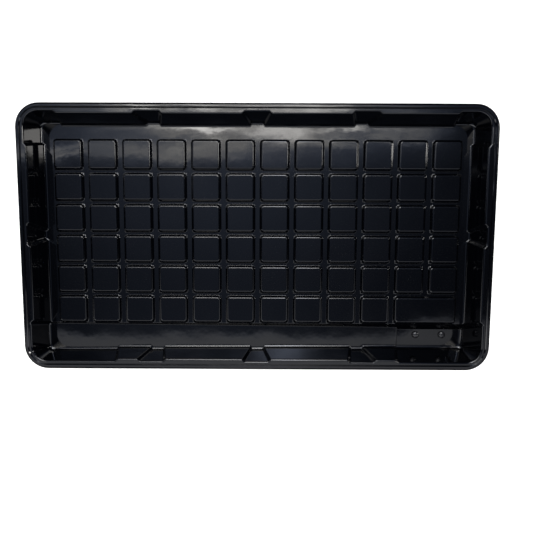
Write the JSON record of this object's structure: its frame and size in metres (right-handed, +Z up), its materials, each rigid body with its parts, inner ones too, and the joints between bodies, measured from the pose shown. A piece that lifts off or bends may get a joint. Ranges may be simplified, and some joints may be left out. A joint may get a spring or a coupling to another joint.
{
  "type": "flood-and-drain growing tray",
  "caption": "Wide shallow black growing tray with a grid of raised pads, a rolled rim, a drain gutter and a corner sump closed by push-in plugs.",
  "frame": {"origin": "middle of the tray in plan, on the flat underside of its channels, where it rests on a bench", "axes": "+X along the tray towards the sump end, +Y across it away from the gutter, +Z up out of the basin"},
  "size_m": [1.196, 0.67, 0.0955],
  "materials": {
    "tray_plastic": "gloss black sheet",
    "grommet_rubber": "matte black rubber",
    "plug_plastic": "gloss black moulding"
  },
  "bodies": {
    "tray": {"tray_shell": "tray_plastic", "inlet_grommet": "grommet_rubber", "outlet_grommet": "grommet_rubber"},
    "inlet_plug": {"inlet_plug": "plug_plastic"},
    "outlet_plug": {"outlet_plug": "plug_plastic"}
  },
  "joints": [
    {"name": "inlet_plug_lift", "type": "slide", "parent": "tray", "child": "inlet_plug", "axis": [0, 0, 1], "range_m": [0, 0.12]},
    {"name": "outlet_plug_lift", "type": "slide", "parent": "tray", "child": "outlet_plug", "axis": [0, 0, 1], "range_m": [0, 0.12]}
  ]
}
